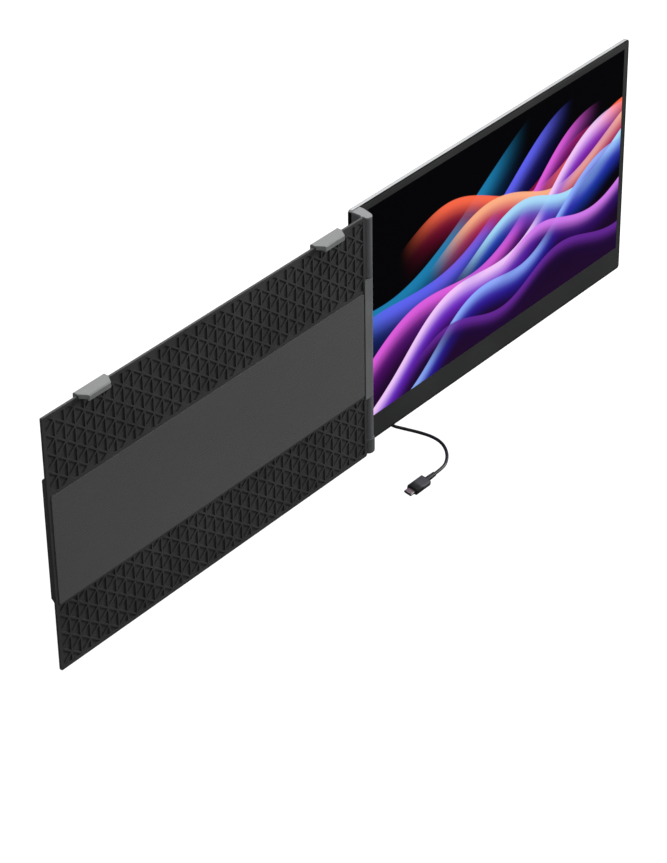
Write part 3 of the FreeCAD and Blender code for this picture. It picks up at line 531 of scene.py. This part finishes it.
def grid_mesh(name: str, points: np.ndarray, wrap_v: bool, caps: bool) -> bpy.types.Mesh:
    """Makes a mesh from a grid of points, rows by columns.

    Row i runs along the piece and column j round it. Each cell is one quad; with wrap_v the last
    column joins the first, and with caps the first and last rows are closed with a fan to their middle.

    Args:
        name: the mesh's name.
        points: an array of rows, columns and 3 coordinates.
        wrap_v: whether the columns close into a ring.
        caps: whether both ends are closed.

    Returns:
        The mesh, smooth shaded.
    """
    rows, columns = points.shape[:2]
    verts = points.reshape(-1, 3)
    index = np.arange(rows * columns).reshape(rows, columns)
    turned = np.roll(index, -1, axis=1) if wrap_v else index[:, 1:]
    here = index if wrap_v else index[:, :-1]
    quads = np.stack([here[:-1], turned[:-1], turned[1:], here[1:]], axis=-1).reshape(-1, 4)
    faces = [tuple(q) for q in quads.tolist()]
    if caps:
        middles = np.stack([points[0].mean(0), points[-1].mean(0)])
        verts = np.concatenate([verts, middles])
        first = np.stack([here[0], np.full(here.shape[1], len(verts) - 2), turned[0]], axis=-1)
        last = np.stack([here[-1], turned[-1], np.full(here.shape[1], len(verts) - 1)], axis=-1)
        faces += [tuple(f) for f in first.tolist()] + [tuple(f) for f in last.tolist()]
    mesh = bpy.data.meshes.new(name)
    mesh.from_pydata(verts.tolist(), [], faces)
    mesh.polygons.foreach_set("use_smooth", np.ones(len(mesh.polygons), bool))
    mesh.update()
    return mesh


def show(name: str, mesh: bpy.types.ID, finish: bpy.types.Material) -> bpy.types.Object:
    """Puts a mesh or curve into the scene, dressed and riding on the monitor.

    Args:
        name: the piece's name.
        mesh: its mesh or curve.
        finish: its material.

    Returns:
        The new object.
    """
    piece = bpy.data.objects.new(name, mesh)
    bpy.context.scene.collection.objects.link(piece)
    mesh.materials.append(finish)
    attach(piece, MONITOR_BODY)
    return piece


@dataclass
class Workshop:
    """Builds each finish once and dresses the pieces that the frame brings."""

    made: dict[str, bpy.types.Material] = field(default_factory=dict)

    def material(self, finish: Finish | LitDisplay) -> bpy.types.Material:
        """The material of a finish, made the first time it is asked for.

        Args:
            finish: the finish.

        Returns:
            Its material.
        """
        if finish.name not in self.made:
            self.made[finish.name] = finish.build()
        return self.made[finish.name]

    def dress(self, finish: Finish | LitDisplay, *nodes: str) -> None:
        """Gives frame pieces a finish.

        Args:
            finish: the finish.
            nodes: the names of the pieces.
        """
        for node in nodes:
            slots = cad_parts[node].data.materials
            slots.clear()
            slots.append(self.material(finish))
            LOG.info("%s wears %s", node, finish.name)


@dataclass
class Bracket:
    """The ribbed frame behind the lid, its soft band, its back cover and the fixed knuckle."""

    workshop: Workshop

    def build(self) -> None:
        """Dresses the bracket."""
        self.workshop.dress(ABS_FRAME, "frame_front", "rear_cover", "stand_ears")
        self.workshop.dress(TPE_BAND, "rest_band")
        self.workshop.dress(STEEL_BLACK, "cover_screws", "tongue_screws")
        self.workshop.dress(ZINC_KNUCKLE, "middle_knuckle")
        self.workshop.dress(STEEL_ROLLED, "stand_pins")


@dataclass
class Clamps:
    """The two sprung hooks over the lid's top edge, with strips, studs and springs."""

    workshop: Workshop
    sides: tuple[str, str] = ("left", "right")

    def build(self) -> None:
        """Dresses both clamps."""
        for side in self.sides:
            self.workshop.dress(NYLON_CLAMP, f"clamp_hook_{side}")
            self.workshop.dress(SILICONE, f"jaw_pad_{side}")
            self.workshop.dress(STEEL_ROLLED, f"slide_strip_{side}", f"stop_stud_{side}")
            self.workshop.dress(STEEL_SPRING, f"clamp_springs_{side}")


@dataclass
class Stand:
    """The folding support stand on the bracket's back."""

    workshop: Workshop

    def build(self) -> None:
        """Dresses the stand."""
        self.workshop.dress(ABS_STAND, "stand_panel")
        self.workshop.dress(STEEL_ROLLED, "stand_core")
        self.workshop.dress(SILICONE, "stand_foot")


@dataclass
class Hinge:
    """The upright hinge: coated bars, pale top cap, dark bottom cap, shafts and washers."""

    workshop: Workshop

    def build(self) -> None:
        """Dresses the hinge."""
        self.workshop.dress(ZINC_HINGE, "hinge_bar_upper", "hinge_bar_lower")
        self.workshop.dress(ALUMINIUM_CAP, "hinge_top_cap")
        self.workshop.dress(NYLON_CAP, "hinge_bottom_cap")
        self.workshop.dress(STEEL_BLACK, "friction_washers", "hinge_screws")
        self.workshop.dress(STEEL_ROLLED, "hinge_shaft_upper", "hinge_shaft_lower", "hinge_stiffener")


@dataclass
class Monitor:
    """The thin monitor: bezel, lit display, shell, electronics cover, sockets and keys."""

    workshop: Workshop

    def picture(self) -> LitDisplay:
        """The display's picture, laid out on the display's own corners.

        Returns:
            The finish of the lit display.
        """
        low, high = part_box("display_glass")
        # height, slope, swell, wave, phase, depth, start, end, crest and body of each fold, back to front
        ribbons = (
            Ribbon(0.30, 0.30, 0.050, 0.90, 0.55, 0.20, -0.30, 0.62, "#1c7fb0", "#072a55"),
            Ribbon(0.46, -0.12, 0.060, 0.80, 0.10, 0.16, 0.30, 1.25, "#8a1038", "#2a0312"),
            Ribbon(0.22, 0.32, 0.045, 0.75, 0.30, 0.17, -0.10, 0.80, "#5f63f2", "#16105e"),
            Ribbon(0.40, -0.02, 0.055, 0.70, 0.80, 0.13, 0.12, 1.20, "#ff6a48", "#8a0f38"),
            Ribbon(0.12, 0.34, 0.050, 0.68, 0.05, 0.15, -0.28, 0.92, "#e25fe0", "#5c0f78"),
            Ribbon(0.32, 0.04, 0.050, 0.62, 0.52, 0.12, 0.22, 1.18, "#ffb489", "#c02a5c"),
            Ribbon(0.05, 0.36, 0.046, 0.60, 0.78, 0.13, -0.20, 1.06, "#f6ccff", "#7a2ce0"),
            Ribbon(0.23, 0.10, 0.045, 0.55, 0.25, 0.12, 0.30, 1.22, "#a9e2ff", "#1f45cc"),
            Ribbon(-0.02, 0.33, 0.040, 0.52, 0.50, 0.11, -0.05, 1.10, "#8fb0ff", "#2b1fb0"),
            Ribbon(0.14, 0.08, 0.036, 0.50, 0.95, 0.11, 0.45, 1.30, "#d77cf0", "#3c0f7c"),
            Ribbon(0.06, 0.05, 0.030, 0.46, 0.60, 0.10, 0.10, 1.20, "#6a2a9c", "#1c0638", 0.85),
        )
        return LitDisplay("lit_display", low.x, low.z, high.x - low.x, "#1e062a", ribbons)

    def build(self) -> None:
        """Dresses the monitor."""
        self.workshop.dress(ABS_BEZEL, "front_bezel")
        self.workshop.dress(self.picture(), "display_glass")
        self.workshop.dress(PANEL_EDGE, "display_panel")
        self.workshop.dress(ALUMINIUM_SHELL, "back_shell")
        self.workshop.dress(ABS_BOX, "control_box")
        self.workshop.dress(SOLDER_MASK, "driver_board")
        self.workshop.dress(BRASS_TURNED, "board_spacers")
        self.workshop.dress(SPEAKER_BODY, "speakers")
        self.workshop.dress(NICKEL_PLATE, "usb_ports", "video_port")
        self.workshop.dress(ACETAL_KEY, "button_power", "button_up", "button_down")


@dataclass
class Lead:
    """The short cable, its two moulded grips and its strain reliefs."""

    workshop: Workshop
    diameter: float = 3.0 * MM
    length: float = 0.1659
    tilt_degrees: float = 10.15
    grip_length: float = 19.0 * MM
    grip_half: tuple[float, float] = (5.75 * MM, 3.0 * MM)
    grip_rounding: float = 0.9 * MM
    grip_power: float = 5.0
    relief_length: float = 12.3 * MM
    relief_radius_mm: float = 2.6
    relief_taper_mm: float = 0.4
    ring_pitch: float = 2.4 * MM
    ring_depth_mm: float = 0.35
    ring_power: int = 4
    ring_fade: float = 0.08
    route: tuple[Point, ...] = (
        (0.2499, 0.0268, -0.0832),
        (0.2499, 0.0268, -0.0962),
        (0.2515, 0.0365, -0.1080),
        (0.2540, 0.0355, -0.1220),
        (0.2570, 0.0260, -0.1306),
        (0.2605, 0.0130, -0.1306),
        (0.2636, -0.0010, -0.1299),
        (0.2650, -0.0160, -0.1292),
        (0.2618, -0.0290, -0.1284),
        (0.2538, -0.0406, -0.1275),
        (0.2426, -0.0502, -0.1265),
        (0.2292, -0.0568, -0.1254),
        (0.2158, -0.0566, -0.1254),
    )

    def cable(self) -> bpy.types.Object:
        """The cable: one smooth spline of the route's points with a round section.

        Returns:
            The cable's curve object.
        """
        curve = bpy.data.curves.new("cable_jacket", "CURVE")
        curve.dimensions = "3D"
        spline = curve.splines.new("NURBS")
        spline.points.add(len(self.route) - 1)
        for point, place in zip(spline.points, self.route):
            point.co = (*place, 1.0)
        spline.order_u = 3
        spline.use_endpoint_u = True
        spline.resolution_u = 12
        curve.bevel_depth = self.diameter / 2
        curve.bevel_resolution = 6
        curve.use_fill_caps = True
        return show("cable_jacket", curve, self.workshop.material(CABLE_JACKET))

    def stand_at(self, mesh: bpy.types.Mesh, place: Point, heading: Heading) -> None:
        """Turns a mesh that points up its own Z to a heading and moves it.

        Args:
            mesh: the mesh to move.
            place: where its own origin goes.
            heading: which way its +Z goes.
        """
        turn = Matrix.Identity(4)
        if heading is Heading.LEFT:
            tilt = Matrix.Rotation(math.radians(self.tilt_degrees), 4, "X")
            aside = Matrix.Rotation(math.radians(-90), 4, "Y")
            turn = tilt @ aside @ Matrix.Rotation(math.radians(90), 4, "Z")
        mesh.transform(Matrix.Translation(Vector(place)) @ turn)

    def grip(self, name: str) -> bpy.types.Mesh:
        """A flat moulded grip along -Z from its metal end at 0.

        The section is a superellipse, |x/a|^n + |y/b|^n = 1, with n = grip_power. Along the length
        both half sizes are full, but for grip_rounding at each end, which follows a quarter circle.

        Args:
            name: the mesh's name.

        Returns:
            The grip's mesh.
        """
        rounding = self.grip_rounding
        around = np.linspace(0, 2 * math.pi, 72, endpoint=False)
        quarter = np.linspace(0, math.pi / 2, 7)
        inward = -rounding * (1 - np.sin(quarter))
        down = -rounding * (1 - np.cos(quarter[::-1]))
        depth = np.concatenate([down, -self.grip_length - down[::-1]])
        inset = np.concatenate([inward, inward[::-1]])
        power = 2 / self.grip_power
        unit_x = np.sign(np.cos(around)) * np.abs(np.cos(around)) ** power
        unit_y = np.sign(np.sin(around)) * np.abs(np.sin(around)) ** power
        rows = np.zeros((len(depth), len(around), 3))
        rows[..., 0] = unit_x[None, :] * (self.grip_half[0] + inset)[:, None]
        rows[..., 1] = unit_y[None, :] * (self.grip_half[1] + inset)[:, None]
        rows[..., 2] = depth[:, None]
        return grid_mesh(name, rows[::-1], True, True)

    def relief(self, name: str) -> bpy.types.Mesh:
        """A strain relief along -Z from the grip at 0, tapered and ringed.

        Its radius falls in a straight line by relief_taper_mm. Rings are cut ring_depth_mm deep, one
        every ring_pitch, by the positive part of a cosine raised to ring_power. They fade out over
        the share ring_fade of the length at each end.

        Args:
            name: the mesh's name.

        Returns:
            The relief's mesh.
        """
        along = np.linspace(0, 1, 90)
        around = np.linspace(0, 2 * math.pi, 40, endpoint=False)
        turn = 2 * math.pi * along * self.relief_length / self.ring_pitch
        ring = np.clip(np.cos(turn + math.pi), 0, 1) ** self.ring_power
        fade = np.clip(np.minimum(along, 1 - along) / self.ring_fade, 0, 1)
        smooth = self.relief_radius_mm - self.relief_taper_mm * along
        radius = (smooth - self.ring_depth_mm * ring * fade) * MM
        rows = np.zeros((len(along), len(around), 3))
        rows[..., 0] = np.cos(around)[None, :] * radius[:, None]
        rows[..., 1] = np.sin(around)[None, :] * radius[:, None]
        rows[..., 2] = -along[:, None] * self.relief_length
        return grid_mesh(name, rows[::-1], True, True)

    def build(self) -> None:
        rubber = self.workshop.material(PLUG_GRIP)
        jacket = self.workshop.material(CABLE_JACKET)
        self.workshop.dress(NICKEL_PLATE, "monitor_plug_shell", "host_plug_shell")
        near, far = Vector(self.route[0]), Vector(self.route[-1])
        for end, place, heading in (("monitor", near, Heading.UP), ("host", far, Heading.LEFT)):
            toward = Vector(heading.value)
            relief = self.relief(f"{end}_relief")
            self.stand_at(relief, tuple(place + toward * self.relief_length), heading)
            grip = self.grip(f"{end}_grip")
            self.stand_at(grip, tuple(place + toward * (self.relief_length + self.grip_length)), heading)
            show(f"{end}_relief", relief, jacket)
            show(f"{end}_grip", grip, rubber)
            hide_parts(f"{end}_strain_relief")
            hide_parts(f"{end}_plug_body")
        cable = self.cable()
        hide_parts("cable")
        LOG.info("cable, reliefs and grips built")


@dataclass(frozen=True)
class Lamp:
    """A soft square lamp: its name, place, side in metres and power in watts."""

    name: str
    place: Point
    size: float
    power: float


@dataclass
class Studio:
    """A pale floor, soft lamps and the camera at the photograph's angle."""

    floor_height: float = -0.175
    floor_size: float = 60.0
    floor_bounce: str = "#a0a0a0"
    floor_in_shine: float = 0.05
    floor_glow: float = 0.80
    floor_shade: float = 0.26
    camera_place: Point = (-1.5270, -1.4151, 1.4286)
    camera_right: Point = (0.63909, -0.76903, -0.01286)
    camera_up: Point = (0.44038, 0.35216, 0.82586)
    lens_mm: float = 127.5
    sensor_mm: float = 36.0
    sight_limit: float = 100.0
    world_light: float = 0.34
    lamp_target: Point = (0.2, 0.0, 0.0)
    lamps: tuple[Lamp, ...] = (
        Lamp("overhead", (0.4, -0.3, 2.6), 2.0, 52.0),
        Lamp("back_right", (2.1, 1.7, 1.9), 1.8, 20.0),
        Lamp("front_right", (3.0, -1.5, 0.9), 1.2, 88.0),
        Lamp("left_fill", (-2.6, -0.4, 1.0), 1.6, 6.0),
        Lamp("back", (0.9, 3.0, 1.0), 1.6, 40.0),
    )

    def floor(self) -> None:
        """A wide plain floor.

        The camera sees it as white with the object's faint shadow. Shiny surfaces see it dim, and to
        all other light it is a plain matt grey.
        """
        half = self.floor_size / 2
        mesh = bpy.data.meshes.new("floor")
        corners = [(-half, -half, self.floor_height), (half, -half, self.floor_height),
                   (half, half, self.floor_height), (-half, half, self.floor_height)]
        mesh.from_pydata(corners, [], [(0, 1, 2, 3)])
        floor = bpy.data.objects.new("floor", mesh)
        bpy.context.scene.collection.objects.link(floor)
        material, tree = empty_material("pale_floor")
        path = add_node(tree, "ShaderNodeLightPath")
        clear = add_node(tree, "ShaderNodeMath", {"operation": "MAXIMUM"},
                         {0: path.outputs["Is Camera Ray"], 1: path.outputs["Is Transmission Ray"]})
        matt = add_node(tree, "ShaderNodeBsdfDiffuse", {"Color": linear(self.floor_bounce)})
        dim = add_node(tree, "ShaderNodeEmission", {"Color": WHITE, "Strength": self.floor_in_shine})
        plain = add_node(tree, "ShaderNodeMixShader",
                         links={0: path.outputs["Is Glossy Ray"], 1: matt.outputs["BSDF"],
                                2: dim.outputs["Emission"]})
        shade = (self.floor_shade, self.floor_shade, self.floor_shade, 1.0)
        faint = add_node(tree, "ShaderNodeBsdfDiffuse", {"Color": shade})
        glow = add_node(tree, "ShaderNodeEmission", {"Color": WHITE, "Strength": self.floor_glow})
        white = add_node(tree, "ShaderNodeAddShader",
                         links={0: faint.outputs["BSDF"], 1: glow.outputs["Emission"]})
        both = add_node(tree, "ShaderNodeMixShader",
                        links={0: clear.outputs["Value"], 1: plain.outputs["Shader"],
                               2: white.outputs["Shader"]})
        add_node(tree, "ShaderNodeOutputMaterial", links={"Surface": both.outputs["Shader"]})
        mesh.materials.append(material)

    def world(self) -> None:
        """An even surround: full white to the camera, and a plain soft light to everything else."""
        world = bpy.data.worlds.new("studio")
        world.use_nodes = True
        tree = world.node_tree
        tree.nodes.clear()
        path = add_node(tree, "ShaderNodeLightPath")
        seen = add_node(tree, "ShaderNodeMath", {"operation": "MAXIMUM"},
                        {0: path.outputs["Is Camera Ray"], 1: path.outputs["Is Transmission Ray"]})
        strength = add_node(tree, "ShaderNodeMapRange", {"To Min": self.world_light, "To Max": 1.0},
                            {"Value": seen.outputs["Value"]})
        light = add_node(tree, "ShaderNodeBackground", {"Color": WHITE},
                         {"Strength": strength.outputs["Result"]})
        add_node(tree, "ShaderNodeOutputWorld", links={"Surface": light.outputs["Background"]})
        bpy.context.scene.world = world

    def light(self, lamp: Lamp) -> None:
        """Adds a lamp that faces lamp_target.

        Args:
            lamp: the lamp.
        """
        light = bpy.data.lights.new(lamp.name, "AREA")
        light.shape = "SQUARE"
        light.size = lamp.size
        light.energy = lamp.power
        holder = bpy.data.objects.new(lamp.name, light)
        holder.location = lamp.place
        toward = Vector(self.lamp_target) - Vector(lamp.place)
        holder.rotation_euler = toward.to_track_quat("-Z", "Y").to_euler()
        bpy.context.scene.collection.objects.link(holder)

    def camera(self) -> None:
        """The camera where the photograph's perspective puts it."""
        data = bpy.data.cameras.new("camera")
        data.lens = self.lens_mm
        data.sensor_width = self.sensor_mm
        data.sensor_fit = "AUTO"
        data.clip_end = self.sight_limit
        camera = bpy.data.objects.new("camera", data)
        right, up = Vector(self.camera_right), Vector(self.camera_up)
        back = right.cross(up)
        matrix = Matrix((right, up, back)).transposed().to_4x4()
        matrix.translation = Vector(self.camera_place)
        camera.matrix_world = matrix
        bpy.context.scene.collection.objects.link(camera)
        bpy.context.scene.camera = camera

    def build(self) -> None:
        """Sets up the floor, surround, lamps and camera."""
        self.floor()
        self.world()
        for lamp in self.lamps:
            self.light(lamp)
        self.camera()
        bpy.context.scene.view_settings.view_transform = "Standard"
        LOG.info("studio built")


def keep_sizes() -> None:
    """Writes nothing: it only defines a helper that turns a box into nested lists of floats."""
    def plain(box: Sequence) -> list:
        """Nested lists of floats."""
        return [[float(v) for v in corner] for corner in box]


def main() -> None:
    """Builds every sub-assembly in order."""
    workshop = Workshop()
    for part in (Bracket(workshop), Clamps(workshop), Stand(workshop), Hinge(workshop), Monitor(workshop),
                 Lead(workshop), Studio()):
        part.build()
        LOG.info("%s done", type(part).__name__)
    keep_sizes()


if __name__ == "__main__":
    main()
